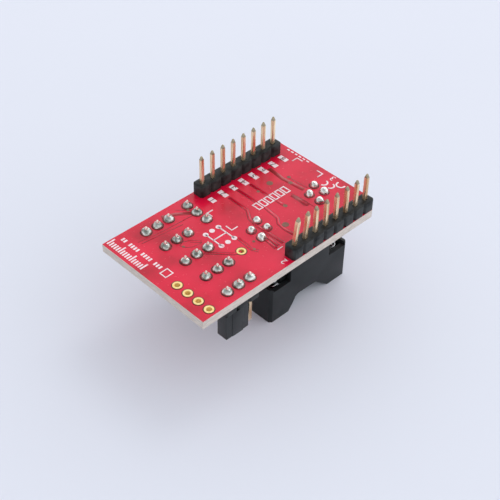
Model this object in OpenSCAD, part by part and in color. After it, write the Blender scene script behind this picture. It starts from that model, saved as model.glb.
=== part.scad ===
// Plug-in adapter board with a sprung test socket and six jumpers.
// It stands on the feet of its test socket, solder side up.
// The origin is under the middle of the board, on the surface it stands on.

/* [Board] */
// Length of the board
board_l = 42.9; // [42:0.1:60]
// Width of the board
board_w = 25.4; // [25:0.1:40]
// Thickness of the board
board_t = 1.6; // [0.8:0.1:2.4]
// Cut across one corner, measured along each edge
corner_cut = 2.5; // [0.5:0.1:4]
// Radius of the drilled holes that take pins and leads
lead_hole_r = 0.52; // [0.5:0.01:0.7]

/* [Pins] */
// Spacing of the pins
pitch = 2.54; // [2.5:0.01:2.6]
// Width of the square pins
pin_w = 0.64; // [0.5:0.01:0.66]
// Length of the taper at a pin's end
pin_taper = 0.7; // [0.2:0.1:1.2]
// Width of a pin at its very tip
pin_tip_w = 0.26; // [0.1:0.02:0.4]
// Height of the jumpers' header bodies
header_h = 2.54; // [1.5:0.01:3.5]
// Width of the plastic header bodies
header_w = 2.54; // [2:0.01:2.54]
// Chamfer between the cells of a header body
header_chamfer = 0.4; // [0.2:0.05:0.7]
// Length of a pin tail past the far face of the board
tail_l = 1.3; // [0.8:0.1:2]

/* [Plug] */
// Most pins in each plug row, fewer where the board is too short
plug_count = 8; // [4:1:8]
// Distance from the board's near end that the plug rows leave free
plug_free = 21.7; // [21:0.01:24]
// Distance between the two plug rows
plug_row_gap = 22.86; // [20.32:0.01:22.86]
// Distance from the board's end to the last pin of a row
plug_end = 3.39; // [3:0.01:6]
// Height of the plug's header bodies
plug_body_h = 2.3; // [1.5:0.01:3.5]
// Length of near plug pin that stands out of its body
near_pin_l = 5.4; // [3:0.01:9]
// Length of far plug pin that stands out of its body
far_pin_l = 5.8; // [3:0.01:9]
// Lean of the first pin of the near row, in degrees
first_pin_lean = 8; // [0:0.1:9]
// Lean of the second pin of the near row, in degrees
second_pin_lean = 5.5; // [0:0.1:9]

/* [Jumpers] */
// Pins in each jumper header
jumper_count = 3; // [3:1:3]
// Distance from the board's end to the first jumper pin
jumper_x = 7.4; // [5.5:0.01:8]
// Distance from the near edge to the nearest row of jumpers
jumper_y = 2.3; // [1.5:0.01:2.8]
// Distance between rows of jumpers
jumper_step = 5.08; // [4.9:0.01:5.3]
// Rows of jumpers
jumper_rows = 5; // [1:1:5]
// Distance from the board's end to the crosswise jumper
cross_x = 17.3; // [16.5:0.01:17.4]
// Distance from the near edge to the first pin of the crosswise jumper
cross_y = 18.1; // [17:0.01:18.8]
// Length of jumper pin that stands out of its body
jumper_pin_l = 6.0; // [4:0.01:7]

/* [Shunts] */
// Length of a shunt across its two pins
shunt_l = 5.06; // [4.8:0.01:5.07]
// Width of a shunt
shunt_w = 2.46; // [2.3:0.01:2.6]
// Height of a shunt
shunt_h = 5.3; // [4:0.05:6.5]
// Clearance between a shunt's clip and its housing
clip_room = 0.03; // [0.01:0.01:0.08]
// Thickness of the sheet that the shunt's clip is bent from
clip_t = 0.2; // [0.1:0.01:0.25]
// Clearance between a pin and the clip that holds it
clip_gap = 0.04; // [0.02:0.01:0.06]
// Height of the clip
clip_h = 4.2; // [3:0.05:4.6]
// Gap between a shunt and the header that it is pushed up to
shunt_seat_gap = 0.05; // [0.02:0.01:0.3]

/* [Plated holes] */
// Holes in the line of plated holes
hole_count = 4; // [2:1:4]
// Distance from the board's end to the line of plated holes
hole_x = 2.6; // [1.8:0.01:3]
// Distance from the near edge to the first plated hole
hole_y = 1.45; // [1.2:0.01:2]
// Distance from the board's end to the single plated hole
single_x = 15.93; // [15:0.01:16.2]
// Distance from the near edge to the single plated hole
single_y = 7.94; // [7:0.01:9]
// Inner radius of a plated hole
plated_r = 0.5; // [0.35:0.01:0.55]
// Outer radius of the ring round a plated hole
ring_r = 0.85; // [0.75:0.01:1.1]
// Thickness of the plated rings on each face
plating_t = 0.06; // [0.03:0.01:0.1]

/* [Solder] */
// Radius of a solder joint at the board
solder_r = 0.88; // [0.6:0.01:1]
// Height of a solder joint
solder_h = 0.95; // [0.5:0.05:1.2]
// Radius of a solder joint at a socket lead
lead_solder_r = 0.72; // [0.5:0.01:0.8]

/* [Socket] */
// Length of the test socket
socket_l = 19.8; // [19:0.1:21]
// Width of the test socket
socket_w = 11.8; // [11.4:0.1:13]
// Height of the test socket, from the board to its feet
socket_h = 15.45; // [15:0.05:18]
// Distance from the board's end to the middle of the socket
socket_x = 29.37; // [29.2:0.01:30]
// Distance from the near plug row to the middle of the socket
socket_y = 8.63; // [8.2:0.01:10.5]
// Height of the base where it meets the board
base_h = 4.7; // [4:0.1:5.2]
// Chamfer on the socket's upright corners
socket_chamfer = 0.5; // [0.1:0.05:1]

/* [Cover] */
// Height of the cover's frame above its feet
cover_h = 7.9; // [7:0.1:8.4]
// Thickness of the cover's plate over its feet
cover_floor = 4.2; // [3.8:0.1:4.6]
// Thickness of the cover's near and far walls
cover_side_wall = 0.95; // [0.7:0.05:1.2]
// Thickness of the cover's end walls
cover_end_wall = 0.6; // [0.4:0.05:1]
// How far the cover travels when it is pressed
cover_travel = 2.0; // [1:0.1:2.2]
// Width of the guide tongues on the cover
tongue_w = 10; // [6:0.1:11]
// Clearance between the tongues and the base
tongue_gap = 0.12; // [0.05:0.01:0.3]
// Depth of the saddle dip in the cover
saddle_h = 3.0; // [1:0.1:3.4]
// Half width of the saddle dip at its mouth
saddle_mouth = 5.18; // [4.5:0.01:6]
// Run of the saddle's steep flank on its left
steep_run = 1.5; // [1:0.1:2]
// Run of the saddle's gentle flank on its right
gentle_run = 3.3; // [2:0.1:3.6]
// Run of the curve between a flank and the saddle's top
saddle_round = 1.3; // [0.5:0.1:1.6]
// Height of the notch between two feet at each end
end_notch_h = 3.4; // [1:0.1:3.8]
// Width of the notch between two feet at each end
end_notch_w = 3.4; // [1:0.01:3.6]
// Width of the broader foot at each end
broad_foot_w = 4.93; // [4.8:0.01:5.2]
// Length of the window that the chip goes through
window_l = 10.4; // [9:0.1:11]
// Width of the window that the chip goes through
window_w = 5.8; // [5.6:0.1:7]
// Bevel round the mouth of the window, which leads the chip in
window_bevel = 0.5; // [0.2:0.05:0.6]
// Depth of the cut-outs that show the springs
gap_drop = 0.6; // [0.2:0.05:1]

/* [Contacts] */
// Leads on each side of the chip
lead_count = 4; // [4:1:4]
// Spacing of the leads
lead_pitch = 1.27; // [1.2:0.01:1.4]
// Distance from the socket's middle to the outer row of leads
outer_row = 8.55; // [8:0.01:8.8]
// Distance from the socket's middle to the inner row of leads
inner_row = 6.01; // [5.8:0.01:6.4]
// Thickness of a contact
contact_t = 0.36; // [0.2:0.01:0.5]
// Width of the strip that a contact is bent from
contact_w = 0.5; // [0.3:0.01:0.6]
// Distance from the socket's middle to the tip of a contact
contact_tip = 2.85; // [2.7:0.01:3.4]
// Clearance round a contact in the base
contact_gap = 0.05; // [0.02:0.01:0.12]

/* [Springs] */
// Outer radius of the cover's springs
spring_r = 0.9; // [0.6:0.01:1]
// Radius of the spring wire
wire_r = 0.15; // [0.08:0.01:0.2]
// Turns of each spring
spring_turns = 8; // [4:1:10]
// Clearance between the springs and the cover's end walls
spring_end_gap = 0.8; // [0.3:0.01:0.9]
// Clearance between the springs and the cover's near and far walls
spring_side_gap = 0.1; // [0.05:0.01:0.3]
// Depth of the spring pockets
pocket_depth = 1.2; // [0.5:0.1:1.6]

/* [Hidden] */

$fn = 48;
// Small overlap that keeps cuts clean
cut = 0.5;
// Heights of the board's two faces above the surface it stands on
board_low = socket_h;
board_high = socket_h + board_t;
// The board's corner nearest the viewer of the photograph
edge_x = -board_l / 2;
edge_y = -board_w / 2;
// Plug rows
plug_fit = min(plug_count, 1 + floor((board_l - plug_end - plug_free) / pitch));
plug_x = edge_x + board_l - plug_end - (plug_fit - 1) * pitch;
near_row_y = -plug_row_gap / 2;
far_row_y = plug_row_gap / 2;
near_leans = [first_pin_lean, second_pin_lean];
// Middle of the socket
mid_x = edge_x + socket_x;
mid_y = near_row_y + socket_y;
// Grooves at the ends of the base that the tongues slide in
groove_w = tongue_w + 2 * tongue_gap;
groove_depth = cover_side_wall + tongue_gap;
// Face of the base that looks at the cover
base_face = socket_h - base_h;
// Tip of the tongues, short of the board by the travel and a clearance
tongue_end_gap = 0.4;
tongue_top = socket_h - cover_travel - tongue_end_gap;
// Hook inside each tongue, which the base holds: its size, and its clearance under it and beside it
hook_w = tongue_w / 2 - 0.4;
hook_h = 0.8;
hook_depth = 0.5;
hook_gap = 0.05;
hook_side = 0.26;
// Distance from the socket's middle to the springs, lengthwise and crosswise
spring_x = socket_l / 2 - cover_end_wall - spring_end_gap - spring_r;
spring_y = socket_w / 2 - cover_side_wall - spring_side_gap - spring_r;
// Clearance kept between the pressed cover and the base
press_gap = 0.3;
core_low = cover_floor + cover_travel + press_gap;
core_l = 2 * (spring_x - spring_r - press_gap);
core_w = socket_w - 2 * cover_side_wall - 2 * press_gap;
// Platform that carries the chip
seat_l = 4.6;
seat_w = window_w - 2 * press_gap;
seat_low = 5.6;
// Radius of a solder joint where it ends on its lead
solder_top_r = 0.5;
// Height where a contact runs sideways to its lead, and its distance from the board
jog_drop = 1.7;
jog_z = socket_h - jog_drop;
// Distance from the socket's middle to a contact's upright stem
contact_stem = 5.3;
// Height where a contact's stem starts to bend
contact_bow_z = 9.3;
// Radius of a contact's spring bow, to the middle of its strip, and the turn of its inner and outer side
bow_r = 1.1;
bow_turn_in = 60;
bow_turn_out = 50;
// Nose of a contact: height of its lowest point, of its tip over that, and of its flank over that
nose_z = 5.2;
nose_tip_h = 0.5;
nose_flank_h = 1.6;
nose_t = 0.25;
// Lever on a contact's back that the cover pushes: its height, thickness, and reach past the stem
lever_z = 7.3;
lever_t = 0.5;
lever_reach = 0.4;
// Length of a socket lead past the far face of the board
lead_tail_l = 0.9;

// Corner points of a straight row of header cells, one octagon beside the next
function cell_side(count, side) = [
    for (i = [0 : count - 1])
        for (p = [[-pitch / 2, header_w / 2 - header_chamfer],
                  [-pitch / 2 + header_chamfer, header_w / 2],
                  [pitch / 2 - header_chamfer, header_w / 2],
                  [pitch / 2, header_w / 2 - header_chamfer]])
            side > 0 ? [i * pitch + p[0], p[1]] : [(count - 1 - i) * pitch - p[0], -p[1]]
];

// Points along an arc, from angle a to angle b
function arc(x, y, r, a, b, steps) = [
    for (i = [0 : steps]) [x + r * cos(a + (b - a) * i / steps), y + r * sin(a + (b - a) * i / steps)]
];

// Square pin along Z from low to high, tapered at the ends that are asked for
module square_pin(low, high, taper_low, taper_high) {
    half = pin_w / 2;
    tip = pin_tip_w / 2;
    outline = concat(
        taper_low ? [[-tip, low], [tip, low], [half, low + pin_taper]] : [[-half, low], [half, low]],
        taper_high ? [[half, high - pin_taper], [tip, high], [-tip, high], [-half, high - pin_taper]]
                   : [[half, high], [-half, high]],
        taper_low ? [[-half, low + pin_taper]] : []
    );
    intersection() {
        rotate([90, 0, 0]) linear_extrude(pin_w, center = true) polygon(outline);
        rotate([90, 0, 90]) linear_extrude(pin_w, center = true) polygon(outline);
    }
}

// Row of header cells with a square hole for each pin, from level 0 up
module header_body(count, height) {
    linear_extrude(height) difference() {
        polygon(concat(cell_side(count, 1), cell_side(count, -1)));
        for (i = [0 : count - 1]) translate([i * pitch, 0]) square(pin_w, center = true);
    }
}

// Solder joint with a hollow flank round a flat-sided lead, from height 0 up
module solder_cone(radius, height, lead_x, lead_y) {
    top = solder_top_r;
    flank = [for (i = [0 : 6]) [radius - (radius - top) * sin(90 * i / 6), height * (1 - cos(90 * i / 6))]];
    difference() {
        rotate_extrude($fn = 24) polygon(concat([[0, 0]], flank, [[0, height]]));
        translate([0, 0, height / 2]) cube([lead_x, lead_y, height + 2 * cut], center = true);
    }
}

// Places of the jumper pins, one call for each header
module at_jumper(number) {
    if (number <= jumper_rows)
        translate([edge_x + jumper_x, edge_y + jumper_y + (number - 1) * jumper_step, 0]) children();
    else
        translate([edge_x + cross_x, edge_y + cross_y, 0]) rotate([0, 0, 90]) children();
}

// Places of the socket leads on one side: 1 is the right side and -1 the left
module at_leads(side) {
    for (i = [0 : lead_count - 1]) {
        $lead_row = i % 2 == 0 ? outer_row : inner_row;
        y = (i - (lead_count - 1) / 2) * lead_pitch;
        translate([mid_x, mid_y, 0]) rotate([0, 0, side > 0 ? 180 : 0]) translate([0, y, 0])
            rotate([0, 0, 180]) children();
    }
}

// Plated rings round a hole, one on each face of the board
module plated_rings() {
    for (low = [-plating_t, board_t])
        translate([0, 0, low]) linear_extrude(plating_t) difference() {
            circle(r = ring_r);
            circle(r = plated_r);
        }
}

module circuit_board() color("crimson") {
    difference() {
        translate([edge_x, edge_y, board_low]) linear_extrude(board_t) polygon([
            [0, 0],
            [board_l - corner_cut, 0],
            [board_l, corner_cut],
            [board_l, board_w],
            [0, board_w]
        ]);
        for (y = [near_row_y, far_row_y])
            for (i = [0 : plug_fit - 1])
                translate([plug_x + i * pitch, y, board_low - cut])
                    cylinder(r = lead_hole_r, h = board_t + 2 * cut);
        for (n = [1 : jumper_rows + 1])
            at_jumper(n) for (i = [0 : jumper_count - 1])
                translate([i * pitch, 0, board_low - cut]) cylinder(r = lead_hole_r, h = board_t + 2 * cut);
        for (side = [-1, 1])
            at_leads(side) translate([$lead_row, 0, board_low - cut])
                cylinder(r = lead_hole_r, h = board_t + 2 * cut);
        for (i = [0 : hole_count - 1])
            translate([edge_x + hole_x, edge_y + hole_y + i * pitch, board_low - cut])
                cylinder(r = plated_r, h = board_t + 2 * cut);
        translate([edge_x + single_x, edge_y + single_y, board_low - cut])
            cylinder(r = plated_r, h = board_t + 2 * cut);
    }
}

module plated_hole_line() color("gold") {
    for (i = [0 : hole_count - 1])
        translate([edge_x + hole_x, edge_y + hole_y + i * pitch, board_low]) plated_rings();
}

module single_plated_hole() color("gold") {
    translate([edge_x + single_x, edge_y + single_y, board_low]) plated_rings();
}

module near_plug_body() color([0.1, 0.1, 0.11]) {
    translate([plug_x, near_row_y, board_high]) header_body(plug_fit, plug_body_h);
}

module far_plug_body() color([0.1, 0.1, 0.11]) {
    translate([plug_x, far_row_y, board_high]) header_body(plug_fit, plug_body_h);
}

// Plug pins: a straight tail through the board and body, and a free end that may lean
module plug_pins(free_l, leans) {
    body_top = board_high + plug_body_h;
    for (i = [0 : plug_fit - 1]) {
        lean = i < len(leans) ? leans[i] : 0;
        translate([plug_x + i * pitch, 0, 0]) {
            if (lean == 0)
                square_pin(board_low - tail_l, body_top + free_l, true, true);
            else {
                square_pin(board_low - tail_l, body_top, true, false);
                translate([0, 0, body_top]) rotate([0, lean, 0]) difference() {
                    square_pin(-pin_w, free_l, false, true);
                    rotate([0, -lean, 0]) translate([0, 0, -pitch]) cube(2 * pitch, center = true);
                }
            }
        }
    }
}

module near_plug_pins() color("goldenrod") {
    translate([0, near_row_y, 0]) plug_pins(near_pin_l, near_leans);
}

module far_plug_pins() color("goldenrod") {
    translate([0, far_row_y, 0]) plug_pins(far_pin_l, []);
}

module plug_solder() color("silver") {
    for (y = [near_row_y, far_row_y])
        for (i = [0 : plug_fit - 1])
            translate([plug_x + i * pitch, y, board_low]) mirror([0, 0, 1])
                solder_cone(solder_r, solder_h, pin_w, pin_w);
}

module jumper_body(number) color([0.1, 0.1, 0.11]) {
    at_jumper(number) translate([0, 0, board_low - header_h]) header_body(jumper_count, header_h);
}

module jumper_pins(number) color("goldenrod") {
    at_jumper(number) for (i = [0 : jumper_count - 1])
        translate([i * pitch, 0, 0])
            square_pin(board_low - header_h - jumper_pin_l, board_high + tail_l, true, true);
}

module jumper_solder() color("silver") {
    for (n = [1 : jumper_rows + 1])
        at_jumper(n) for (i = [0 : jumper_count - 1])
            translate([i * pitch, 0, board_high]) solder_cone(solder_r, solder_h, pin_w, pin_w);
}

// Half sizes of the space inside a shunt's clip, round two pins
clip_x = (pitch + pin_w) / 2 + clip_gap;
clip_y = pin_w / 2 + clip_gap;
shunt_low = board_low - header_h - shunt_seat_gap - shunt_h;
// Raised panel on each long side of a shunt: its depth, and its distance from the shunt's ends
panel_depth = 0.12;
panel_end = 1.3;

// Shunt housing, open at both ends, with a raised panel on each long side
module shunt_housing(number) color([0.13, 0.13, 0.14]) {
    at_jumper(number) translate([pitch / 2, 0, shunt_low]) linear_extrude(shunt_h) difference() {
        union() {
            square([shunt_l - 2 * panel_end, shunt_w], center = true);
            square([shunt_l, shunt_w - 2 * panel_depth], center = true);
        }
        square([2 * (clip_x + clip_t + clip_room), 2 * (clip_y + clip_t + clip_room)], center = true);
    }
}

// Spring clip bent from strip: two long sides that pinch the pins, closed at the ends
module shunt_clip(number) color([0.8, 0.65, 0.35]) {
    low = shunt_low + (shunt_h - clip_h) / 2;
    at_jumper(number) translate([pitch / 2, 0, low]) linear_extrude(clip_h) difference() {
        square([2 * (clip_x + clip_t), 2 * (clip_y + clip_t)], center = true);
        square([2 * clip_x, 2 * clip_y], center = true);
    }
}

// Outline of the saddle dip across the cover, steeper on its left than on its right
function saddle() = [
    [-saddle_mouth, -cut],
    [-saddle_mouth, 0],
    [-saddle_mouth + steep_run, 0.72 * saddle_h],
    [-saddle_mouth + steep_run + 0.15 * saddle_round, 0.87 * saddle_h],
    [-saddle_mouth + steep_run + 0.5 * saddle_round, 0.97 * saddle_h],
    [-saddle_mouth + steep_run + saddle_round, saddle_h],
    [saddle_mouth - gentle_run - 0.5 * saddle_round, 0.95 * saddle_h],
    [saddle_mouth - gentle_run, 0.9 * saddle_h],
    [saddle_mouth, 0],
    [saddle_mouth, -cut]
];

// Plan of the socket with chamfered corners
module socket_plan() {
    x = socket_l / 2;
    y = socket_w / 2;
    c = socket_chamfer;
    polygon([
        [-x + c, -y], [x - c, -y], [x, -y + c], [x, y - c],
        [x - c, y], [-x + c, y], [-x, y - c], [-x, -y + c]
    ]);
}

module at_springs() {
    for (x = [-spring_x, spring_x])
        for (y = [-spring_y, spring_y])
            translate([mid_x + x, mid_y + y, 0]) children();
}

module socket_base() color([0.08, 0.08, 0.09]) {
    difference() {
        translate([mid_x, mid_y, 0]) difference() {
            union() {
                translate([0, 0, base_face]) linear_extrude(base_h) socket_plan();
                translate([-core_l / 2, -core_w / 2, core_low])
                    cube([core_l, core_w, base_face - core_low + cut]);
                translate([-seat_l / 2, -seat_w / 2, seat_low])
                    cube([seat_l, seat_w, core_low - seat_low + cut]);
            }
            for (turn = [0, 180]) rotate([0, 0, turn]) {
                translate([-groove_w / 2, socket_w / 2 - groove_depth, base_face - cut])
                    cube([groove_w, groove_depth + cut, base_h + 2 * cut]);
                translate([-hook_w / 2 - hook_side, socket_w / 2 - groove_depth - hook_depth - tongue_gap,
                           tongue_top - hook_h - hook_gap])
                    cube([hook_w + 2 * hook_side, hook_depth + cut,
                          hook_h + cover_travel + hook_gap + press_gap / 2]);
            }
        }
        at_springs() translate([0, 0, base_face - cut])
            cylinder(r = spring_r + contact_gap, h = pocket_depth + cut);
        for (side = [-1, 1])
            at_leads(side) contact_slot();
    }
}

// Room in the base for one contact
module contact_slot() {
    wide = contact_t + 2 * contact_gap;
    translate([contact_stem - contact_w / 2 - contact_gap, -wide / 2, core_low - cut])
        cube([core_l / 2 - contact_stem + contact_w + cut, wide, base_face - core_low + 2 * cut]);
    translate([contact_tip - 2 * nose_t, -wide / 2, seat_low - cut])
        cube([core_l, wide, contact_bow_z + contact_gap - seat_low + cut]);
    translate([contact_stem - contact_w / 2 - contact_gap, -wide / 2, base_face - cut])
        cube([contact_w + 2 * contact_gap, wide, jog_z - base_face + cut + contact_w / 2 + contact_gap]);
    translate([contact_stem - contact_w / 2 - contact_gap, -wide / 2, jog_z - contact_w / 2 - contact_gap])
        cube([$lead_row - contact_stem + contact_w + 2 * contact_gap, wide, contact_w + 2 * contact_gap]);
    translate([$lead_row - contact_w / 2 - contact_gap, -wide / 2, jog_z - contact_w / 2 - contact_gap])
        cube([contact_w + 2 * contact_gap, wide, socket_h - jog_z + contact_w]);
}

// Outline of one contact: lead, sideways run, stem, spring bow, and a nose with a lever
function contact_outline(row) = let (
    h = contact_w / 2,
    bow_x = contact_stem - bow_r,
    lever_x = contact_stem + lever_reach
) concat(
    [[row - h, board_high + lead_tail_l], [row - h, jog_z + h], [contact_stem - h, jog_z + h]],
    arc(bow_x, contact_bow_z, bow_r - h, 0, -bow_turn_in, 5),
    [[contact_tip + nose_t, nose_z + nose_flank_h], [contact_tip, nose_z + nose_tip_h]],
    [[contact_tip + nose_t, nose_z], [contact_tip + 3 * nose_t, nose_z + nose_t]],
    [[contact_tip + contact_w + 2 * nose_t, nose_z + 5 * nose_t]],
    [[lever_x, lever_z], [lever_x, lever_z + lever_t], [bow_x + 3 * nose_t, lever_z + lever_t]],
    arc(bow_x, contact_bow_z, bow_r + h, -bow_turn_out, 0, 5),
    [[contact_stem + h, jog_z - h], [row + h, jog_z - h], [row + h, board_high + lead_tail_l]]
);

module contact() {
    rotate([90, 0, 0]) linear_extrude(contact_t, center = true) polygon(contact_outline($lead_row));
}

module left_contacts() color([0.85, 0.7, 0.35]) {
    at_leads(-1) contact();
}

module right_contacts() color([0.85, 0.7, 0.35]) {
    at_leads(1) contact();
}

// Bevelled mouth of the window, along the near and far sides of the saddle's top
module window_mouth() {
    top = saddle_h + window_bevel;
    rotate([90, 0, 90]) linear_extrude(window_l, center = true) polygon([
        [-window_w / 2 - 2 * window_bevel, saddle_h - window_bevel],
        [window_w / 2 + 2 * window_bevel, saddle_h - window_bevel],
        [window_w / 2, top],
        [-window_w / 2, top]
    ]);
}

module socket_cover() color([0.1, 0.1, 0.11]) {
    x = socket_l / 2;
    y = socket_w / 2;
    shelf = cover_h - gap_drop;
    inside_l = socket_l - 2 * cover_end_wall;
    inside_w = socket_w - 2 * cover_side_wall;
    difference() {
        translate([mid_x, mid_y, 0]) difference() {
            union() {
                linear_extrude(cover_h) socket_plan();
                for (turn = [0, 180]) rotate([0, 0, turn]) {
                    translate([-tongue_w / 2, y - cover_side_wall, shelf - cut])
                        cube([tongue_w, cover_side_wall, tongue_top - shelf + cut]);
                    translate([-hook_w / 2, y - cover_side_wall - hook_depth, tongue_top - hook_h])
                        cube([hook_w, hook_depth + cut / 2, hook_h]);
                }
            }
            translate([-x + cover_end_wall, -y + cover_side_wall, cover_floor])
                cube([inside_l, inside_w, cover_h - cover_floor + cut]);
            translate([-window_l / 2, -window_w / 2, -cut])
                cube([window_l, window_w, cover_floor + 2 * cut]);
            window_mouth();
            for (left = [-x + cover_end_wall, tongue_w / 2])
                translate([left, -y - cut, shelf])
                    cube([(inside_l - tongue_w) / 2, socket_w + 2 * cut, gap_drop + cut]);
            for (turn = [0, 180])
                rotate([0, 0, turn]) translate([-x - cut, -y + broad_foot_w, -cut])
                    cube([x - window_l / 2 + 2 * cut, end_notch_w, end_notch_h + cut]);
            rotate([90, 0, 0]) linear_extrude(socket_w + 2 * cut, center = true) polygon(saddle());
        }
        at_springs() translate([0, 0, cover_floor - pocket_depth])
            cylinder(r = spring_r + contact_gap, h = pocket_depth + cut);
    }
}

// Coil spring along Z, swept round a circle of wire centres
module coil_spring(low, high) {
    sides = 5;
    per_turn = 10;
    rings = spring_turns * per_turn;
    mean_r = spring_r - wire_r;
    rise = (high - low - 2 * wire_r) / rings;
    points = [
        for (i = [0 : rings])
            for (k = [0 : sides - 1])
                let (a = 360 * i / per_turn, b = 360 * k / sides, r = mean_r + wire_r * cos(b))
                    [r * cos(a), r * sin(a), low + wire_r + rise * i + wire_r * sin(b)]
    ];
    sleeve = [
        for (i = [0 : rings - 1])
            for (k = [0 : sides - 1])
                let (m = (k + 1) % sides, a = i * sides + k, b = i * sides + m)
                    each [[a, b, b + sides], [a, b + sides, a + sides]]
    ];
    ends = [
        [for (k = [0 : sides - 1]) sides - 1 - k],
        [for (k = [0 : sides - 1]) rings * sides + k]
    ];
    polyhedron(points, concat(sleeve, ends));
}

module cover_springs() color("silver") {
    at_springs() coil_spring(cover_floor - pocket_depth, base_face + pocket_depth);
}

module socket_solder() color("silver") {
    for (side = [-1, 1])
        at_leads(side) translate([$lead_row, 0, board_high])
            solder_cone(lead_solder_r, solder_h, contact_w, contact_t);
}

circuit_board();
plated_hole_line();
single_plated_hole();
near_plug_body();
far_plug_body();
near_plug_pins();
far_plug_pins();
plug_solder();
jumper_body(1);  // jumper_body_1
jumper_body(2);  // jumper_body_2
jumper_body(3);  // jumper_body_3
jumper_body(4);  // jumper_body_4
jumper_body(5);  // jumper_body_5
jumper_body(6);  // jumper_body_6
jumper_pins(1);  // jumper_pins_1
jumper_pins(2);  // jumper_pins_2
jumper_pins(3);  // jumper_pins_3
jumper_pins(4);  // jumper_pins_4
jumper_pins(5);  // jumper_pins_5
jumper_pins(6);  // jumper_pins_6
jumper_solder();
shunt_housing(1);  // shunt_housing_1
shunt_housing(2);  // shunt_housing_2
shunt_housing(3);  // shunt_housing_3
shunt_housing(4);  // shunt_housing_4
shunt_housing(5);  // shunt_housing_5
shunt_housing(6);  // shunt_housing_6
shunt_clip(1);  // shunt_clip_1
shunt_clip(2);  // shunt_clip_2
shunt_clip(3);  // shunt_clip_3
shunt_clip(4);  // shunt_clip_4
shunt_clip(5);  // shunt_clip_5
shunt_clip(6);  // shunt_clip_6
socket_base();
socket_cover();
left_contacts();
right_contacts();
cover_springs();
socket_solder();
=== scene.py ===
import math
import random

import bmesh
import bpy
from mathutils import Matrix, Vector


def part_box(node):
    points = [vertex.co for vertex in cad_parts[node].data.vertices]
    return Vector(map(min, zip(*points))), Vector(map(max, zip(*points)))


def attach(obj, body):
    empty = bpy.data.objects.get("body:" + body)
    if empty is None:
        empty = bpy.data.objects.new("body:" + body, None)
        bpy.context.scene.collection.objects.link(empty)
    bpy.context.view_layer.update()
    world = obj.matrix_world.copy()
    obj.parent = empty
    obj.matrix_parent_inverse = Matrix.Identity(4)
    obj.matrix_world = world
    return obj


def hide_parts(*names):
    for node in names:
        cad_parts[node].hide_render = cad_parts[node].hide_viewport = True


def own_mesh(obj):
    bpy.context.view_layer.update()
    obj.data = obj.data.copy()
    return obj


# The look of an IC programming adapter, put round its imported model

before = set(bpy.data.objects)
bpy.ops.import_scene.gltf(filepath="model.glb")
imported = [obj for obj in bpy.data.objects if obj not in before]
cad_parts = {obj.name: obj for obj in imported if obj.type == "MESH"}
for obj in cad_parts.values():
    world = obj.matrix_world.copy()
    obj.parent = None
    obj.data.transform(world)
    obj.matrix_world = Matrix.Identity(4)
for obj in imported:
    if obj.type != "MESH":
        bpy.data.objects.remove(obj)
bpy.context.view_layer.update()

MM = 0.001
rng = random.Random(7)

# Points nearer to each other than this are one point
CAD_SAME_POINT = 0.0005 * MM
SAME_POINT = 0.001 * MM

# Places on the board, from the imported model
BOARD_LOW, BOARD_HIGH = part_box("circuit_board")
NEAR_X, NEAR_Y, UNDERSIDE = BOARD_LOW
TOP_FACE = BOARD_HIGH.z

# Heights of the printed layers over the board
TRACE_RISE = 0.024 * MM
TRACE_EDGE_RISE = 0.012 * MM
BROAD_RISE = 0.7 * TRACE_EDGE_RISE
VIA_RISE = 1.2 * TRACE_RISE
OPENING_RISE = 1.5 * TRACE_EDGE_RISE
INK_RISE = 0.045 * MM
LABEL_NUMBER_RISE = 0.3 * INK_RISE

# Roundings of the moulded pieces and of the pins
HEADER_EDGE = 0.07 * MM
SHUNT_EDGE = 0.09 * MM
COVER_EDGE = 0.16 * MM
BASE_EDGE = 0.05 * MM
PIN_EDGE = 0.05 * MM

# Angles in degrees: edges flatter than these are smooth or stay unrounded
FLAT_ANGLE = 0.5
MOULDED_SHARP = 35
PIN_SHARP = 20
MOULDED_SMOOTH = 40
ROUND_SMOOTH = 60


# Mesh helpers

def deselect_all():
    if bpy.context.object and bpy.context.object.mode != "OBJECT":
        bpy.ops.object.mode_set(mode="OBJECT")
    bpy.ops.object.select_all(action="DESELECT")


def make_active(piece):
    deselect_all()
    piece.select_set(True)
    bpy.context.view_layer.objects.active = piece


def apply_modifiers(piece):
    make_active(piece)
    for modifier in list(piece.modifiers):
        bpy.ops.object.modifier_apply(modifier=modifier.name)


def settle(piece):
    """Puts the piece's place, turn and size into its mesh."""
    make_active(piece)
    bpy.ops.object.transform_apply(location=True, rotation=True, scale=True)


def joined(pieces, name):
    deselect_all()
    for piece in pieces:
        piece.select_set(True)
    bpy.context.view_layer.objects.active = pieces[0]
    if len(pieces) > 1:
        bpy.ops.object.join()
    whole = bpy.context.view_layer.objects.active
    whole.name = name
    whole.data.name = name
    settle(whole)
    return whole


def smooth(piece, angle):
    make_active(piece)
    bpy.ops.object.shade_smooth_by_angle(angle=math.radians(angle))


def paint(piece, material):
    piece.data.materials.clear()
    piece.data.materials.append(material)


def on_board(x, y, lift=0.0):
    """A point on the board's top face, in millimetres from its near corner."""
    return Vector((NEAR_X + x * MM, NEAR_Y + y * MM, TOP_FACE + lift))


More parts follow.
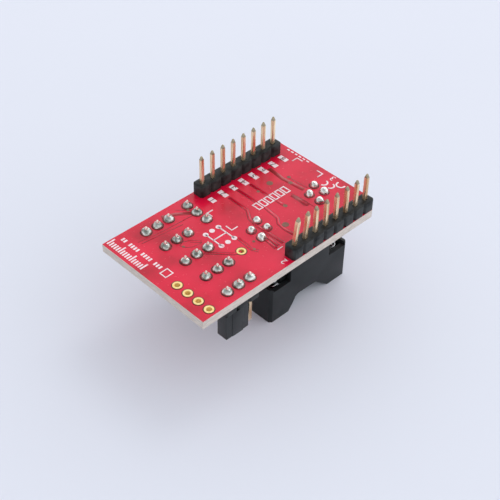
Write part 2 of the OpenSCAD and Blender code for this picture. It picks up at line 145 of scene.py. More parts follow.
def softened_copy(node, name, width, material, body="board", segments=2, sharp=MOULDED_SHARP):
    """A copy of a CAD node with its sharp edges rounded, which stands for that node."""
    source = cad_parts[node]
    piece = bpy.data.objects.new(name, source.data.copy())
    bpy.context.scene.collection.objects.link(piece)
    make_active(piece)
    bpy.ops.object.mode_set(mode="EDIT")
    bpy.ops.mesh.select_all(action="SELECT")
    bpy.ops.mesh.remove_doubles(threshold=CAD_SAME_POINT)
    bpy.ops.mesh.dissolve_limited(angle_limit=math.radians(FLAT_ANGLE))
    bpy.ops.object.mode_set(mode="OBJECT")
    bevel = piece.modifiers.new("rounded edges", "BEVEL")
    bevel.width = width
    bevel.segments = segments
    bevel.limit_method = "ANGLE"
    bevel.angle_limit = math.radians(sharp)
    bevel.use_clamp_overlap = True
    apply_modifiers(piece)
    smooth(piece, MOULDED_SMOOTH)
    paint(piece, material)
    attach(piece, body)
    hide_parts(node)


# Material helpers

class Finish:
    """A node material with object coordinates ready for its patterns."""

    def __init__(self, name, roughness, metallic=0.0, specular=0.5):
        self.material = bpy.data.materials.new(name)
        self.material.use_nodes = True
        self.nodes = self.material.node_tree.nodes
        self.links = self.material.node_tree.links
        self.surface = self.nodes["Principled BSDF"]
        self.surface.inputs["Roughness"].default_value = roughness
        self.surface.inputs["Metallic"].default_value = metallic
        self.surface.inputs["Specular IOR Level"].default_value = specular
        self.place = self.nodes.new("ShaderNodeTexCoord").outputs["Object"]

    def noise(self, scale, detail=3.0, stretch=None):
        """Cloudy values round a half, drawn out along an axis where stretch says so."""
        source = self.place
        if stretch:
            mapping = self.nodes.new("ShaderNodeMapping")
            mapping.inputs["Scale"].default_value = stretch
            self.links.new(source, mapping.inputs["Vector"])
            source = mapping.outputs["Vector"]
        node = self.nodes.new("ShaderNodeTexNoise")
        node.inputs["Scale"].default_value = scale
        node.inputs["Detail"].default_value = detail
        self.links.new(source, node.inputs["Vector"])
        return node.outputs["Fac"]

    def ramp(self, value, *stops):
        """Colours at given places along a value, blended between them."""
        node = self.nodes.new("ShaderNodeValToRGB")
        elements = node.color_ramp.elements
        while len(elements) < len(stops):
            elements.new(0.5)
        for element, (place, colour) in zip(elements, stops):
            element.position = place
            element.color = (*colour, 1.0)
        self.links.new(value, node.inputs["Fac"])
        return node.outputs["Color"]

    def between(self, value, low, high, out_low, out_high):
        """A value stretched from one range to another."""
        node = self.nodes.new("ShaderNodeMapRange")
        node.inputs["From Min"].default_value = low
        node.inputs["From Max"].default_value = high
        node.inputs["To Min"].default_value = out_low
        node.inputs["To Max"].default_value = out_high
        self.links.new(value, node.inputs["Value"])
        return node.outputs["Result"]

    def mix(self, factor, first, second):
        """The first source where the factor is 0, and the second where it is 1."""
        node = self.nodes.new("ShaderNodeMix")
        node.data_type = "RGBA"
        self.links.new(factor, node.inputs["Factor"])
        self.links.new(first, node.inputs["A"])
        self.links.new(second, node.inputs["B"])
        return node.outputs["Result"]

    def flat(self, colour):
        """One part of a mix that has the same colour all over."""
        node = self.nodes.new("ShaderNodeRGB")
        node.outputs["Color"].default_value = (*colour, 1.0)
        return node.outputs["Color"]

    def tilt(self):
        """How far a face looks up or down: 0 for an upright face, 1 for a level one."""
        normal = self.nodes.new("ShaderNodeNewGeometry").outputs["True Normal"]
        parts = self.nodes.new("ShaderNodeSeparateXYZ")
        self.links.new(normal, parts.inputs["Vector"])
        upward = self.nodes.new("ShaderNodeMath")
        upward.operation = "ABSOLUTE"
        self.links.new(parts.outputs["Z"], upward.inputs[0])
        return upward.outputs[0]

    def colour(self, source):
        self.links.new(source, self.surface.inputs["Base Color"])

    def rough(self, source):
        self.links.new(source, self.surface.inputs["Roughness"])

    def bump(self, height, strength, distance):
        node = self.nodes.new("ShaderNodeBump")
        node.inputs["Strength"].default_value = strength
        node.inputs["Distance"].default_value = distance
        self.links.new(height, node.inputs["Height"])
        self.links.new(node.outputs["Normal"], self.surface.inputs["Normal"])


# Colours, as linear red, green and blue
MASK_DEEP = (0.47, 0.002, 0.022)
MASK_MID = (0.69, 0.003, 0.037)
MASK_LIGHT = (0.80, 0.008, 0.052)
# Painted shade: the two trace colours stand for the shade along the sloped edges of traces
TRACE_SHADE_DARK = (0.17, 0.010, 0.016)
TRACE_SHADE_RED = (0.40, 0.015, 0.03)
COPPER_SHADOW = (0.36, 0.050, 0.046)
OPENING_DARK = (0.05, 0.010, 0.010)
OPENING_BROWN = (0.20, 0.03, 0.02)
VIA_DARK = (0.14, 0.05, 0.03)
VIA_LIGHT = (0.32, 0.14, 0.09)
LAMINATE_DARK = (0.45, 0.40, 0.36)
LAMINATE_LIGHT = (0.60, 0.53, 0.48)
INK_THIN = (0.74, 0.36, 0.42)
INK_WHITE = (0.90, 0.74, 0.77)
INK_THICK = (0.92, 0.82, 0.84)
# Black plastic, deepest first; the two paler colours are painted sheen
BLACK_DEEP = (0.004, 0.005, 0.006)
BLACK_SHEEN = (0.014, 0.016, 0.017)
BLACK_LIT = (0.034, 0.036, 0.036)
GOLD_WARM = (0.58, 0.31, 0.15)
GOLD_PALE = (1.0, 0.84, 0.58)
PIN_END = (0.36, 0.31, 0.21)
# Tinned cut ends, with a pink tint that is a painted reflection of the red board
TINNED_END_PINK_REFLECTION = (0.82, 0.66, 0.60)
CONTACT_WARM = (0.70, 0.48, 0.24)
CONTACT_PALE = (0.86, 0.68, 0.4)
RING_WARM = (0.96, 0.66, 0.20)
RING_PALE = (1.0, 0.86, 0.44)
# Solder: the darker three make a painted-shade copy, the lighter three a painted-light copy of the same
# metal
TIN_DARK = (0.12, 0.13, 0.12)
TIN_MIDDLE = (0.38, 0.41, 0.37)
TIN_LIGHT = (0.74, 0.76, 0.74)
TIN_BRIGHT = (0.97, 0.96, 0.93)
WIRE_DARK = (0.55, 0.56, 0.57)
WIRE_LIGHT = (0.8, 0.81, 0.82)
TABLE_DARK = (0.735, 0.755, 0.835)
TABLE_LIGHT = (0.755, 0.775, 0.855)

# Roughness of bare laminate, and the heights of the fine hills on each finish
LAMINATE_ROUGHNESS = 0.7
FINE_HILLS = 0.02 * MM
MOULDED_HILLS = 0.03 * MM
SOLDER_HILLS = 0.08 * MM


def solder_mask_finish():
    finish = Finish("solder mask over laminate", 0.22)
    broad = finish.noise(120, 4)
    fine = finish.noise(1400, 2)
    red = finish.ramp(broad, (0.3, MASK_DEEP), (0.48, MASK_MID), (0.7, MASK_LIGHT))
    layers = finish.noise(900, 3, stretch=(1, 1, 9))
    glass_fibre = finish.ramp(layers, (0.35, LAMINATE_DARK), (0.62, LAMINATE_LIGHT))
    face = finish.between(finish.tilt(), 0.4, 0.6, 0.0, 1.0)
    finish.colour(finish.mix(face, glass_fibre, red))
    gloss = finish.between(fine, 0.3, 0.7, 0.17, 0.28)
    finish.rough(finish.mix(face, finish.flat((LAMINATE_ROUGHNESS,) * 3), gloss))
    finish.bump(fine, 0.08, FINE_HILLS)
    return finish.material


# Painted shade along the edges of traces and broad copper, as a dark colour
def trace_edge_finish():
    finish = Finish("painted shade along trace edges", 0.42)
    finish.colour(finish.ramp(finish.noise(300, 3), (0.3, TRACE_SHADE_DARK), (0.7, TRACE_SHADE_RED)))
    return finish.material


def buried_copper_finish():
    finish = Finish("mask over a broad trace", 0.36)
    finish.colour(finish.ramp(finish.noise(420, 4), (0.32, COPPER_SHADOW), (0.62, MASK_DEEP)))
    finish.bump(finish.noise(1500, 2), 0.1, FINE_HILLS)
    return finish.material


def opening_finish():
    finish = Finish("bare edge of a mask opening", 0.6)
    finish.colour(finish.ramp(finish.noise(900, 2), (0.3, OPENING_DARK), (0.7, OPENING_BROWN)))
    return finish.material


def ink_finish():
    finish = Finish("printing ink", 0.55)
    worn = finish.noise(2600, 4)
    finish.colour(finish.ramp(worn, (0.28, INK_THIN), (0.45, INK_WHITE), (0.75, INK_THICK)))
    finish.bump(worn, 0.15, FINE_HILLS)
    return finish.material


def moulded_black_finish(name, roughness, sheen_scale, specular, top=BLACK_SHEEN, side=BLACK_SHEEN):
    """Black plastic with painted sheen in paler patches, and painted shade that keeps level tops darker
    than upright faces.
    """
    finish = Finish(name, roughness, specular=specular)
    broad = finish.noise(sheen_scale, 4)
    fine = finish.noise(5200, 3)
    # Painted sheen in the paler patches; painted shade keeps the level tops darker
    level = finish.ramp(broad, (0.35, BLACK_DEEP), (0.7, top))
    upright = finish.ramp(broad, (0.3, BLACK_DEEP), (0.6, side))
    finish.colour(finish.mix(finish.between(finish.tilt(), 0.5, 0.8, 0.0, 1.0), upright, level))
    finish.rough(finish.between(broad, 0.3, 0.7, roughness - 0.07, roughness + 0.09))
    finish.bump(fine, 0.22, MOULDED_HILLS)
    return finish.material


def gold_finish(name, roughness, warm, pale, end=None, metallic=1.0):
    """Plating with marks drawn out along the pin, and cut ends of their own colour, which on the jumper
    pins holds a painted reflection.
    """
    finish = Finish(name, roughness, metallic)
    drawn = finish.noise(700, 4, stretch=(3, 3, 0.35))
    gold = finish.ramp(drawn, (0.3, warm), (0.72, pale))
    if end:
        cut_end = finish.between(finish.tilt(), 0.17, 0.24, 0.0, 1.0)
        gold = finish.mix(cut_end, gold, finish.flat(end))
    finish.colour(gold)
    finish.rough(finish.between(drawn, 0.3, 0.7, roughness - 0.06, roughness + 0.1))
    finish.bump(drawn, 0.12, FINE_HILLS)
    return finish.material


def solder_finish(name, dark, middle, light):
    finish = Finish(name, 0.24, metallic=1.0)
    grain = finish.noise(1500, 4)
    finish.colour(finish.ramp(grain, (0.30, dark), (0.46, middle), (0.66, light)))
    finish.rough(finish.between(grain, 0.3, 0.7, 0.36, 0.14))
    finish.bump(grain, 0.5, SOLDER_HILLS)
    return finish.material


def spring_finish():
    finish = Finish("drawn spring wire", 0.22, metallic=1.0)
    finish.colour(finish.ramp(finish.noise(1200, 2), (0.3, WIRE_DARK), (0.7, WIRE_LIGHT)))
    return finish.material


def via_finish():
    finish = Finish("mask sunk in a via", 0.5)
    finish.colour(finish.ramp(finish.noise(800, 3), (0.3, VIA_DARK), (0.7, VIA_LIGHT)))
    return finish.material


# Flat runs of trace and ink

DOT_SIDES = 28
CIRCLE_STEPS = 24
# Turn of the printed numbers on the board, in degrees, and how fine their curves are
NUMBER_TURN = 90
NUMBER_CURVE_STEPS = 3


def stroke(points, width, height, closed=False):
    """A flat strip along points, lying on the board, as a mesh."""
    deselect_all()
    bpy.ops.curve.primitive_bezier_curve_add(location=(0, 0, 0))
    run = bpy.context.object
    run.data.splines.clear()
    run.data.dimensions = "3D"
    run.data.twist_mode = "Z_UP"
    spline = run.data.splines.new("POLY")
    spline.points.add(len(points) - 1)
    for knot, (x, y) in zip(spline.points, points):
        knot.co = (*on_board(x, y, height / 2), 1.0)
    spline.use_cyclic_u = closed
    section = bpy.data.curves.new("section", "CURVE")
    section.dimensions = "2D"
    outline = section.splines.new("POLY")
    outline.points.add(3)
    corners = ((-1, -1), (1, -1), (1, 1), (-1, 1))
    for knot, (across, up) in zip(outline.points, corners):
        knot.co = (across * width * MM / 2, up * height / 2, 0.0, 1.0)
    outline.use_cyclic_u = True
    section_object = bpy.data.objects.new("section", section)
    bpy.context.scene.collection.objects.link(section_object)
    run.data.bevel_mode = "OBJECT"
    run.data.bevel_object = section_object
    run.data.use_fill_caps = not closed
    make_active(run)
    bpy.ops.object.convert(target="MESH")
    strip = bpy.context.object
    bpy.data.objects.remove(section_object)
    make_active(strip)
    bpy.ops.object.mode_set(mode="EDIT")
    bpy.ops.mesh.select_all(action="SELECT")
    bpy.ops.mesh.remove_doubles(threshold=SAME_POINT)
    bpy.ops.mesh.normals_make_consistent(inside=False)
    bpy.ops.object.mode_set(mode="OBJECT")
    return strip


def disc(x, y, radius, height):
    """A low round dot on the board."""
    deselect_all()
    bpy.ops.mesh.primitive_cylinder_add(vertices=DOT_SIDES, radius=radius * MM, depth=height,
                                        location=on_board(x, y, height / 2))
    return bpy.context.object


def plate(x, y, length, width, height):
    """A low block on the board, centred on x and y."""
    deselect_all()
    bpy.ops.mesh.primitive_cube_add(size=1, location=on_board(x, y, height / 2))
    block = bpy.context.object
    block.scale = (length * MM, width * MM, height)
    settle(block)
    return block


def circle_points(x, y, radius, start=0, end=360):
    """Points along a circle or an arc, with its ends in degrees."""
    points = []
    for step in range(CIRCLE_STEPS + 1):
        angle = math.radians(start + (end - start) * step / CIRCLE_STEPS)
        points.append((x + radius * math.cos(angle), y + radius * math.sin(angle)))
    return points


def box_points(low_x, low_y, high_x, high_y):
    return [(low_x, low_y), (high_x, low_y), (high_x, high_y), (low_x, high_y)]


def digit(number, x, y, size, height, base=0.0):
    """A plain number printed flat on the board."""
    deselect_all()
    bpy.ops.object.text_add(location=(0, 0, 0))
    text = bpy.context.object
    text.data.body = str(number)
    text.data.size = size * MM
    text.data.align_x = "CENTER"
    text.data.align_y = "CENTER"
    text.data.extrude = height / 2
    text.data.resolution_u = NUMBER_CURVE_STEPS
    make_active(text)
    bpy.ops.object.convert(target="MESH")
    printed = bpy.context.object
    printed.rotation_euler = (0, 0, math.radians(NUMBER_TURN))
    printed.location = on_board(x, y, base + height / 2)
    settle(printed)
    return printed


# Routes of the traces, in millimetres from the board's near corner
TRACE_WIDTH = 0.44
TRACE_EDGE_WIDTH = 0.66
HAIRLINE_WIDTH = 0.13
TRACE_ROUTES = [
    [(11.1, 11.9), (14.6, 8.25), (15.93, 7.94)],
    [(17.85, 10.9), (17.6, 7.0), (18.1, 6.0)],
    [(24.3, 19.9), (24.3, 15.2), (22.8, 13.0), (22.5, 10.9), (22.65, 4.6)],
    [(21.8, 8.9), (21.5, 4.6)],
    [(21.1, 7.6), (20.7, 4.4)],
    [(26.95, 20.7), (27.0, 13.3), (26.6, 9.9), (25.6, 8.7), (25.35, 7.1), (25.5, 5.0)],
    [(29.75, 20.1), (29.9, 12.9), (30.0, 11.35)],
]
# Thin lines of painted shade along the edges of the broad copper areas
HAIRLINES = [
    [(4.7, 21.6), (6.8, 21.3), (9.8, 20.9), (16.2, 20.6)],
    [(4.9, 20.9), (9.4, 20.4), (13.4, 19.9)],
    [(15.0, 23.8), (16.9, 21.8)],
    [(14.4, 22.7), (16.6, 21.2)],
    [(11.2, 15.6), (12.6, 14.1)],
    [(33.3, 13.0), (33.6, 9.9), (33.5, 7.4)],
    [(32.9, 12.8), (32.5, 9.0)],
    [(36.3, 17.0), (36.6, 12.2)],
]
BROAD_RUNS = [
    [(11.9, 23.9), (14.2, 22.9), (16.6, 21.1)],
    [(35.6, 21.0), (35.2, 17.1), (35.4, 15.7), (35.7, 12.3)],
    [(33.0, 12.6), (33.1, 8.6)],
]
BROAD_WIDTH = 0.85
OVAL_TRACE = [
    (9.3, 16.1), (10.2, 16.5), (11.6, 15.9), (12.9, 14.6), (12.3, 14.1), (10.6, 14.4), (9.6, 15.2),
]
# Each via's place and radius
VIA_PLACES = [
    (19.2, 8.3, 0.27), (17.9, 6.8, 0.27), (32.55, 17.8, 0.6), (30.0, 11.35, 0.42),
    (29.35, 17.5, 0.32), (26.35, 7.7, 0.62), (9.6, 15.5, 0.25), (36.4, 16.7, 0.35),
    (35.4, 15.3, 0.4), (16.6, 22.2, 0.3),
]
# Each kind of bare place on the solder side, and the radius at which the mask stops round it
OPENING_RADII = {
    "jumper_solder": 1.02,
    "socket_solder": 0.90,
    "plated_hole_line": 0.95,
    "single_plated_hole": 0.95,
}
OPENING_WIDTH = 0.17


def board_traces(mask_top, edge_shade, broad, via):
    """Traces under the mask: a red top on a wider strip of painted shade at its edges, thin lines of
    painted shade, broad runs and vias.
    """
    # Painted shade: dark strips under each trace's red top and thin lines along broad copper
    dark = [stroke(route, TRACE_EDGE_WIDTH, TRACE_EDGE_RISE) for route in TRACE_ROUTES]
    dark += [stroke(route, HAIRLINE_WIDTH, TRACE_EDGE_RISE) for route in HAIRLINES]
    dark.append(stroke(OVAL_TRACE, HAIRLINE_WIDTH, TRACE_EDGE_RISE, closed=True))
    edges = joined(dark, "trace_edge_shades")
    paint(edges, edge_shade)
    tops = joined([stroke(route, TRACE_WIDTH, TRACE_RISE) for route in TRACE_ROUTES], "traces")
    paint(tops, mask_top)
    runs = joined([stroke(route, BROAD_WIDTH, BROAD_RISE) for route in BROAD_RUNS], "broad_traces")
    paint(runs, broad)
    vias = joined([disc(x, y, radius, VIA_RISE) for x, y, radius in VIA_PLACES], "vias")
    paint(vias, via)
    for piece in (edges, tops, runs, vias):
        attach(piece, "board")


def mask_openings(material):
    """Narrow dark rings where the mask stops round each joint and each plated hole."""
    rings = []
    for node, radius in OPENING_RADII.items():
        for place in joint_places([node], TOP_FACE):
            points = circle_points((place.x - NEAR_X) / MM, (place.y - NEAR_Y) / MM, radius)[:-1]
            rings.append(stroke(points, OPENING_WIDTH, OPENING_RISE, closed=True))
    openings = joined(rings, "mask_openings")
    paint(openings, material)
    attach(openings, "board")


# Printed marks, in millimetres from the board's near corner
LABEL_X = [21.6, 24.25, 26.8, 29.35, 31.9, 34.4, 37.0, 39.65]
LABEL_Y = 21.35
LABEL_LENGTH = 1.0
LABEL_WIDTHS = [1.5, 2.1, 1.5, 2.1, 2.1, 2.1, 1.9, 2.0]
LABEL_NUMBER_SIZE = 1.6
CORNER_MARKS = [
    [(19.8, 19.3), (18.5, 19.3), (18.5, 18.0)],
    [(18.5, 14.5), (18.5, 13.0), (19.9, 13.0)],
    [(40.4, 19.7), (41.7, 19.7), (41.7, 18.3)],
    [(41.6, 14.5), (41.6, 13.1), (40.2, 13.1)],
]
LINE_WIDTH = 0.26
OPEN_BOX_X = [26.3 + 1.38 * box for box in range(6)]
OPEN_BOX_HALF = 0.45
OPEN_BOX_Y = (13.7, 15.4)
OPEN_BOX_LINE = 0.34
TICK_X = 0.65
TICK_Y = [16.2 + 0.58 * tick for tick in range(16)]
TICK_WIDTH = 0.3
LONG_TICK = 1.7
SHORT_TICK = 1.1
CELL_X = 3.35
CELL_Y = [14.2 + 0.65 * cell for cell in range(16)]
CELL_SIZE = (0.8, 0.36)
SQUARE = (2.4, 11.75, 4.0, 13.2)
SQUARE_LINE = 0.28
LINK_X = (14.4, 15.9, 17.4)
LINK_Y = (11.2, 15.2)
LINK_MIDDLE = 13.2
LINK_DOT = 0.5
# Each open curve's middle, radius and ends in degrees
OPEN_CURVES = [(39.8, 11.2, 0.75, 190, 360), (40.0, 9.7, 0.7, 190, 360), (41.6, 8.6, 0.8, 70, 290)]
OPEN_CURVE_LINE = 0.3
DASH_X = 42.35
DASH_Y = (17.6, 18.6, 19.6, 20.6, 21.6, 22.6)
DASH_SIZE = (0.3, 0.6)
# Each loose number with its place
LOOSE_NUMBERS = [(1, 21.3, 4.0), (2, 19.4, 1.2), (3, 42.0, 10.9)]
LOOSE_NUMBER_SIZE = 1.8


def corner_and_box_marks():
    marks = [stroke(points, LINE_WIDTH, INK_RISE) for points in CORNER_MARKS]
    for x in OPEN_BOX_X:
        corners = box_points(x - OPEN_BOX_HALF, OPEN_BOX_Y[0], x + OPEN_BOX_HALF, OPEN_BOX_Y[1])
        marks.append(stroke(corners, OPEN_BOX_LINE, INK_RISE, closed=True))
    return marks


def end_marks():
    """A scale of ticks with each fifth one longer, cells in groups of four, and an open square."""
    marks = []
    for tick, y in enumerate(TICK_Y):
        length = LONG_TICK if tick % 5 == 0 else SHORT_TICK
        marks.append(plate(TICK_X + length / 2, y, length, TICK_WIDTH, INK_RISE))
    for cell, y in enumerate(CELL_Y):
        if cell % 5 != 3:
            marks.append(plate(CELL_X, y, *CELL_SIZE, INK_RISE))
    marks.append(stroke(box_points(*SQUARE), SQUARE_LINE, INK_RISE, closed=True))
    return marks


def link_marks():
    """Six dots, four of them joined by lines."""
    left, right = LINK_X[0], LINK_X[-1]
    low, high = LINK_Y
    marks = [disc(x, y, LINK_DOT, INK_RISE) for x in LINK_X for y in LINK_Y]
    for points in ([(left, low), (left, high)], [(right, low), (right, high)],
                   [(left, LINK_MIDDLE), (right, LINK_MIDDLE)]):
        marks.append(stroke(points, LINE_WIDTH, INK_RISE))
    return marks


def far_end_marks():
    marks = [stroke(circle_points(*curve), OPEN_CURVE_LINE, INK_RISE) for curve in OPEN_CURVES]
    marks += [plate(DASH_X, y, *DASH_SIZE, INK_RISE) for y in DASH_Y]
    marks += [digit(number, x, y, LOOSE_NUMBER_SIZE, INK_RISE) for number, x, y in LOOSE_NUMBERS]
    return marks


def printed_marks(ink, ground):
    marks = []
    numbers = []
    for place, (x, width) in enumerate(zip(LABEL_X, LABEL_WIDTHS), 1):
        marks.append(plate(x, LABEL_Y, LABEL_LENGTH, width, INK_RISE))
        numbers.append(digit(place, x, LABEL_Y, LABEL_NUMBER_SIZE, LABEL_NUMBER_RISE, base=INK_RISE))
    marks += corner_and_box_marks() + end_marks() + link_marks() + far_end_marks()
    printed = joined(marks, "printed_marks")
    paint(printed, ink)
    figures = joined(numbers, "label_numbers")
    paint(figures, ground)
    for piece in (printed, figures):
        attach(piece, "board")


# Solder joints

JOINT_RADIUS = 0.95 * MM
JOINT_RISE = 0.82 * MM
LEAD_JOINT_RADIUS = 0.8 * MM
LEAD_JOINT_RISE = 0.93 * MM
JOINT_SIDES = 20
# The joint's outline from its rim to its tip, as shares of its radius and of its rise
DOME = [
    (1.0, 0.06), (0.97, 0.22), (0.90, 0.42), (0.80, 0.60), (0.68, 0.76), (0.56, 0.88),
    (0.44, 0.96), (0.26, 1.0), (0.05, 1.0),
]
# How far the joints differ: sideways lean, size, and depth of three ripples round the rim
MOST_LEAN = 0.09
SWELL_RANGE = (0.94, 1.08)
RIPPLES = 3
RIPPLE_DEPTH = 0.05


def solder_joint(radius, rise, name):
    """A rounded joint that stands on height 0 and closes round its lead."""
    deselect_all()
    bpy.ops.mesh.primitive_circle_add(vertices=JOINT_SIDES, radius=radius, fill_type="NGON",
                                      location=(0, 0, 0))
    joint = bpy.context.object
    joint.name = name
    profile = [(radius * width, rise * height) for width, height in DOME]
    bpy.ops.object.mode_set(mode="EDIT")
    bpy.ops.mesh.select_all(action="SELECT")
    width, height = radius, 0.0
    for next_width, next_height in profile:
        bpy.ops.mesh.extrude_region_move(TRANSFORM_OT_translate={"value": (0, 0, next_height - height)})
        ratio = next_width / width
        bpy.ops.transform.resize(value=(ratio, ratio, 1))
        width, height = next_width, next_height
    bpy.ops.mesh.select_all(action="SELECT")
    bpy.ops.mesh.normals_make_consistent(inside=False)
    bpy.ops.object.mode_set(mode="OBJECT")
    return joint


def solder_row(name, node, places, radius, rise, down, material):
    """Copies of one joint at each place, each leaning and swollen a little differently."""
    model = solder_joint(radius, rise, name + "_model")
    joints = []
    for place in places:
        mesh = model.data.copy()
        lean = Vector((rng.uniform(-MOST_LEAN, MOST_LEAN), rng.uniform(-MOST_LEAN, MOST_LEAN)))
        swell = rng.uniform(*SWELL_RANGE)
        phase = rng.uniform(0, math.tau)
        for vertex in mesh.vertices:
            height = vertex.co.z
            bearing = math.atan2(vertex.co.y, vertex.co.x)
            ripple = 1 + RIPPLE_DEPTH * math.sin(RIPPLES * bearing + phase)
            vertex.co.x = vertex.co.x * swell * ripple + lean.x * height
            vertex.co.y = vertex.co.y * swell * ripple + lean.y * height
        joint = bpy.data.objects.new(name, mesh)
        bpy.context.scene.collection.objects.link(joint)
        if down:
            joint.rotation_euler = (math.pi, 0, 0)
        joint.location = place
        joints.append(joint)
    bpy.data.objects.remove(model)
    row = joined(joints, name)
    smooth(row, ROUND_SMOOTH)
    paint(row, material)
    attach(row, "board")
    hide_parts(node)


def joint_places(nodes, height):
    """The middle of each joint or hole of these nodes; a hole's two rings count once."""
    found = {}
    for node in nodes:
        mesh = bmesh.new()
        mesh.from_mesh(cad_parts[node].data)
        bmesh.ops.remove_doubles(mesh, verts=mesh.verts, dist=CAD_SAME_POINT)
        left = set(mesh.verts)
        while left:
            reach = [left.pop()]
            island = list(reach)
            while reach:
                vertex = reach.pop()
                for edge in vertex.link_edges:
                    other = edge.other_vert(vertex)
                    if other in left:
                        left.remove(other)
                        reach.append(other)
                        island.append(other)
            along = [vertex.co.x for vertex in island]
            across = [vertex.co.y for vertex in island]
            middle_x = (min(along) + max(along)) / 2
            middle_y = (min(across) + max(across)) / 2
            found[round(middle_x, 6), round(middle_y, 6)] = Vector((middle_x, middle_y, height))
        mesh.free()
    return sorted(found.values(), key=lambda place: (round(place.x, 5), round(place.y, 5)))


def solder_joints(shaded_solder, lit_solder):
    jumpers = joint_places(["jumper_solder"], TOP_FACE)
    leads = joint_places(["socket_solder"], TOP_FACE)
    plugs = joint_places(["plug_solder"], UNDERSIDE)
    # Painted light: the lead joints get the lit copy of the solder, the others the shaded copy
    solder_row("jumper_joints", "jumper_solder", jumpers, JOINT_RADIUS, JOINT_RISE, False, shaded_solder)
    solder_row("lead_joints", "socket_solder", leads, LEAD_JOINT_RADIUS, LEAD_JOINT_RISE, False, lit_solder)
    solder_row("plug_joints", "plug_solder", plugs, JOINT_RADIUS, JOINT_RISE, True, shaded_solder)


# Plating inside the bare holes

LINING_RADIUS = 0.499 * MM
LINING_WALL = 0.02 * MM
LINING_SIDES = 36


def hole_linings(material):
    places = joint_places(["plated_hole_line", "single_plated_hole"], (TOP_FACE + UNDERSIDE) / 2)
    tubes = []
    for place in places:
        deselect_all()
        bpy.ops.mesh.primitive_cylinder_add(vertices=LINING_SIDES, radius=LINING_RADIUS,
                                            depth=TOP_FACE - UNDERSIDE, end_fill_type="NOTHING",
                                            location=place)
        tube = bpy.context.object
        wall = tube.modifiers.new("wall", "SOLIDIFY")
        wall.thickness = LINING_WALL
        apply_modifiers(tube)
        tubes.append(tube)
    linings = joined(tubes, "hole_linings")
    smooth(linings, ROUND_SMOOTH)
    paint(linings, material)
    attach(linings, "board")


# Springs

WIRE_RADIUS = 0.15 * MM
WIRE_SIDES = 10
COIL_RADIUS = 0.75 * MM
COIL_TURNS = 8
STEPS_PER_TURN = 20


def spring_coil(length):
    """One coil of round wire that stands on height 0, with closed ends."""
    deselect_all()
    bpy.ops.mesh.primitive_circle_add(vertices=WIRE_SIDES, radius=WIRE_RADIUS,
                                      location=(COIL_RADIUS, 0, 0), rotation=(math.pi / 2, 0, 0))
    coil = bpy.context.object
    settle(coil)
    screw = coil.modifiers.new("winding", "SCREW")
    screw.angle = math.tau * COIL_TURNS
    screw.screw_offset = length
    screw.steps = STEPS_PER_TURN * COIL_TURNS
    screw.render_steps = STEPS_PER_TURN * COIL_TURNS
    screw.use_merge_vertices = True
    apply_modifiers(coil)
    bpy.ops.object.mode_set(mode="EDIT")
    bpy.ops.mesh.select_all(action="SELECT")
    bpy.ops.mesh.remove_doubles(threshold=SAME_POINT)
    bpy.ops.mesh.select_all(action="DESELECT")
    bpy.ops.mesh.select_non_manifold()
    bpy.ops.mesh.edge_face_add()
    bpy.ops.mesh.select_all(action="SELECT")
    bpy.ops.mesh.normals_make_consistent(inside=False)
    bpy.ops.object.mode_set(mode="OBJECT")
    return coil


def cover_coils(material):
    """Round wire coils in the corners of the socket."""
    low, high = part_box("cover_springs")
    reach = COIL_RADIUS + WIRE_RADIUS
    model = spring_coil(high[2] - low[2] - 2 * WIRE_RADIUS)
    coils = []
    for x in (low[0] + reach, high[0] - reach):
        for y in (low[1] + reach, high[1] - reach):
            coil = bpy.data.objects.new("coil", model.data.copy())
            bpy.context.scene.collection.objects.link(coil)
            coil.location = (x, y, low[2] + WIRE_RADIUS)
            settle(coil)
            coils.append(coil)
    bpy.data.objects.remove(model)
    springs = joined(coils, "spring_coils")
    smooth(springs, ROUND_SMOOTH)
    paint(springs, material)
    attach(springs, "board")
    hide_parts("cover_springs")
    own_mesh(springs)


# The whole object

JUMPER_NUMBERS = range(1, 7)


def dress_plastics(header, housing, socket):
    for node in ("near_plug_body", "far_plug_body"):
        softened_copy(node, node + "_moulding", HEADER_EDGE, header)
    for number in JUMPER_NUMBERS:
        softened_copy(f"jumper_body_{number}", f"jumper_moulding_{number}", HEADER_EDGE,
                      header)
        softened_copy(f"shunt_housing_{number}", f"shunt_moulding_{number}", SHUNT_EDGE,
                      housing, body=f"shunt_{number}")
    softened_copy("socket_cover", "cover_moulding", COVER_EDGE, socket,
                  body="cover", segments=3)
    softened_copy("socket_base", "base_moulding", BASE_EDGE, socket)


def dress_metals(plug_pin, jumper_pin, contact, ring):
    for node in ("near_plug_pins", "far_plug_pins"):
        softened_copy(node, node.replace("pins", "posts"), PIN_EDGE, plug_pin, sharp=PIN_SHARP)
    for number in JUMPER_NUMBERS:
        softened_copy(f"jumper_pins_{number}", f"jumper_posts_{number}", PIN_EDGE,
                      jumper_pin, sharp=PIN_SHARP)
        paint(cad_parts[f"shunt_clip_{number}"], contact)
    for node in ("left_contacts", "right_contacts"):
        paint(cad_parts[node], contact)
    for node in ("plated_hole_line", "single_plated_hole"):
        paint(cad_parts[node], ring)


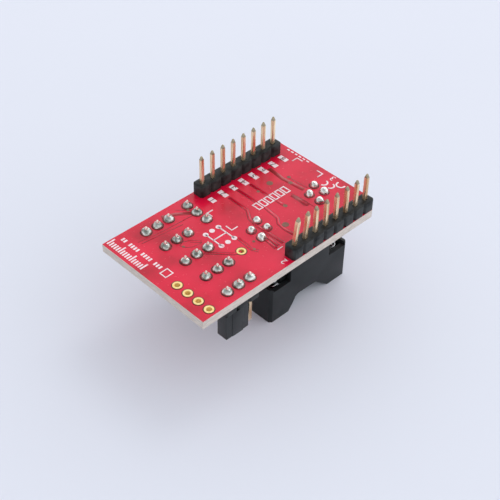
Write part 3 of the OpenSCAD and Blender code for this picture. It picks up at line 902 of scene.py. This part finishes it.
def build_object():
    mask = solder_mask_finish()
    paint(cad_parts["circuit_board"], mask)
    opening = opening_finish()
    board_traces(mask, trace_edge_finish(), buried_copper_finish(), via_finish())
    mask_openings(opening)
    printed_marks(ink_finish(), opening)
    header = moulded_black_finish("header plastic", 0.46, 900, specular=0.20, top=BLACK_LIT, side=BLACK_LIT)
    housing = moulded_black_finish("shunt plastic", 0.40, 400, specular=0.4)
    socket = moulded_black_finish("socket plastic", 0.42, 220, specular=0.30)
    dress_plastics(header, housing, socket)
    rings = gold_finish("gold plated rings", 0.42, RING_WARM, RING_PALE, metallic=0.5)
    plug_pin = gold_finish("gold plated plug pins", 0.24, GOLD_WARM, GOLD_PALE, PIN_END, metallic=0.8)
    # The jumper pins' tinned ends carry a painted reflection of the red board
    jumper_pin = gold_finish("gold plated jumper pins", 0.20, GOLD_WARM, GOLD_PALE, TINNED_END_PINK_REFLECTION)
    contact = gold_finish("spring contacts", 0.3, CONTACT_WARM, CONTACT_PALE)
    dress_metals(plug_pin, jumper_pin, contact, rings)
    # One solder in two painted copies: shaded for the jumper and plug joints, lit for the lead joints
    shaded_solder = solder_finish("solder", TIN_DARK, TIN_MIDDLE, TIN_LIGHT)
    lit_solder = solder_finish("lit solder", TIN_MIDDLE, TIN_LIGHT, TIN_BRIGHT)
    solder_joints(shaded_solder, lit_solder)
    hole_linings(rings)
    cover_coils(spring_finish())


# Camera, floor and light

CAMERA_PLACE = (-97.87 * MM, -99.65 * MM, 135.31 * MM)
CAMERA_TURN = (48.302, -0.779, -44.159)
CAMERA_LENS = 75.77
CAMERA_SENSOR = 36
CAMERA_REACH = (0.01, 20)
TABLE_SIZE = 6
# The window: its place, its width across and its power, and the point it is turned to
WINDOW_PLACE = (0.36, 0.08, 0.54)
WINDOW_SIZE = 0.26
WINDOW_POWER = 0.40
WINDOW_AIM = (0, 0, 0.015)
ROOM_TINT = (0.95, 0.97, 1.0, 1.0)
WALL_COLOUR = (0.76, 0.79, 0.89, 1.0)
# The room's strength at the low and the high end of three measures
LEFT_TO_RIGHT = (0.66, 1.34)
HORIZON_TO_ZENITH = (2.16, 0.46)
SEEN_TO_REFLECTED = (1.0, 0.75)


def place_camera():
    deselect_all()
    bpy.ops.object.camera_add(location=CAMERA_PLACE)
    camera = bpy.context.object
    camera.rotation_euler = [math.radians(angle) for angle in CAMERA_TURN]
    camera.data.lens = CAMERA_LENS
    camera.data.sensor_width = CAMERA_SENSOR
    camera.data.clip_start, camera.data.clip_end = CAMERA_REACH
    bpy.context.scene.camera = camera


def floor_finish():
    finish = Finish("pale table", 0.9, specular=0.1)
    finish.colour(finish.ramp(finish.noise(6, 2), (0.3, TABLE_DARK), (0.7, TABLE_LIGHT)))
    return finish.material


def place_floor():
    deselect_all()
    bpy.ops.mesh.primitive_plane_add(size=TABLE_SIZE, location=(0, 0, 0))
    floor = bpy.context.object
    floor.name = "table"
    paint(floor, floor_finish())


def place_window():
    deselect_all()
    bpy.ops.object.light_add(type="AREA", location=WINDOW_PLACE)
    window = bpy.context.object
    window.name = "window"
    window.data.shape = "DISK"
    window.data.size = WINDOW_SIZE
    window.data.energy = WINDOW_POWER
    direction = Vector(WINDOW_AIM) - Vector(WINDOW_PLACE)
    window.rotation_euler = direction.to_track_quat("-Z", "Y").to_euler()


def strength_along(nodes, links, source, low, high, strengths):
    """A strength that goes from the first of two to the second as the source goes from low to high."""
    share = nodes.new("ShaderNodeMapRange")
    numbers = {"From Min": low, "From Max": high, "To Min": strengths[0], "To Max": strengths[1]}
    for name, number in numbers.items():
        share.inputs[name].default_value = number
    links.new(source, share.inputs["Value"])
    return share.outputs["Result"]


def place_room():
    """A soft room, brighter on the right and low down, that reflections see darker."""
    room = bpy.data.worlds.new("soft studio")
    bpy.context.scene.world = room
    room.use_nodes = True
    nodes, links = room.node_tree.nodes, room.node_tree.links
    background = nodes["Background"]
    background.inputs["Color"].default_value = ROOM_TINT
    heading = nodes.new("ShaderNodeSeparateXYZ")
    links.new(nodes.new("ShaderNodeTexCoord").outputs["Generated"], heading.inputs["Vector"])
    ray = nodes.new("ShaderNodeLightPath").outputs
    strength = strength_along(nodes, links, heading.outputs["X"], -1.0, 1.0, LEFT_TO_RIGHT)
    for source, strengths in ((heading.outputs["Z"], HORIZON_TO_ZENITH),
                              (ray["Is Glossy Ray"], SEEN_TO_REFLECTED)):
        product = nodes.new("ShaderNodeMath")
        product.operation = "MULTIPLY"
        links.new(strength, product.inputs[0])
        links.new(strength_along(nodes, links, source, 0.0, 1.0, strengths), product.inputs[1])
        strength = product.outputs[0]
    links.new(strength, background.inputs["Strength"])
    # The camera sees a wall of the floor's pale colour, which gives no light
    wall = nodes.new("ShaderNodeBackground")
    wall.inputs["Color"].default_value = WALL_COLOUR
    seen = nodes.new("ShaderNodeMixShader")
    links.new(ray["Is Camera Ray"], seen.inputs["Fac"])
    links.new(background.outputs["Background"], seen.inputs[1])
    links.new(wall.outputs["Background"], seen.inputs[2])
    links.new(seen.outputs["Shader"], nodes["World Output"].inputs["Surface"])


bpy.context.scene.view_settings.view_transform = "Standard"
place_camera()
place_floor()
place_room()
place_window()
build_object()
